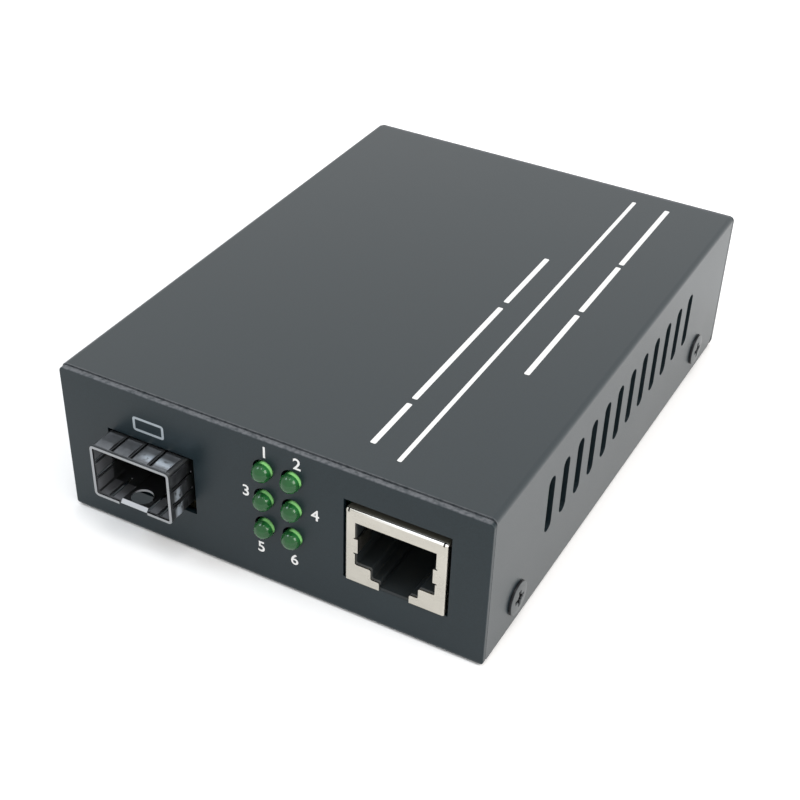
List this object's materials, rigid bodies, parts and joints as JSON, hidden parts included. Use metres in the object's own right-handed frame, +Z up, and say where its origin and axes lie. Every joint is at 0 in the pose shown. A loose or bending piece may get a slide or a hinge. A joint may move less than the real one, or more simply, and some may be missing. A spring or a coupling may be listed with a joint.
{
  "type": "fibre media converter",
  "caption": "Flat folded-steel network media converter: transceiver cage, indicator lamps and RJ45 jack at the front, vent slots in both sides, DC inlet at the rear.",
  "frame": {"origin": "centre of the flat underside that rests on the table", "axes": "+Z up; the front panel with its ports faces -Y; +X is to the right as seen from the front"},
  "size_m": [0.0724, 0.1019, 0.0265],
  "materials": {
    "case_paint": "fine matte powder coat, black",
    "screw_black": "black oxide",
    "nickel_shield": "nickel-plated sheet",
    "cage_steel": "tinned sheet, satin",
    "spring_steel": "bright spring sheet",
    "lamp_green": "tinted clear epoxy",
    "black_moulding": "moulded",
    "board_green": "solder mask",
    "gold_contact": "gold flash",
    "tinned_lead": "tin plate",
    "brass_post": "turned",
    "bright_screw": "zinc plate",
    "chip_black": "moulded epoxy",
    "crystal_can": "drawn can",
    "capacitor_can": "sleeved can",
    "inductor_dark": "pressed ferrite",
    "resistor_black": "fired glaze",
    "ceramic_tan": "ceramic"
  },
  "bodies": {
    "root": {"top_cover": "case_paint", "base_chassis": "case_paint", "cover_screws": "screw_black", "circuit_board": "board_green", "board_standoffs": "brass_post", "board_screws": "bright_screw", "sfp_cage": "cage_steel", "sfp_spring_collar": "spring_steel", "sfp_connector": "black_moulding", "sfp_contacts": "gold_contact", "rj45_shield": "nickel_shield", "rj45_housing": "black_moulding", "rj45_contacts": "gold_contact", "led_leads": "tinned_lead", "led_holder": "black_moulding", "dc_jack_housing": "black_moulding", "dc_jack_pin": "tinned_lead", "dc_jack_spring": "tinned_lead", "magnetics": "chip_black", "magnetics_leads": "tinned_lead", "converter_chip": "chip_black", "converter_chip_leads": "tinned_lead", "crystal": "crystal_can", "bulk_capacitors": "capacitor_can", "power_inductor": "inductor_dark", "regulator": "chip_black", "regulator_tab": "tinned_lead", "chip_resistors": "resistor_black", "chip_capacitors": "ceramic_tan", "led_1": "lamp_green", "led_2": "lamp_green", "led_3": "lamp_green", "led_4": "lamp_green", "led_5": "lamp_green", "led_6": "lamp_green"}
  },
  "joints": []
}
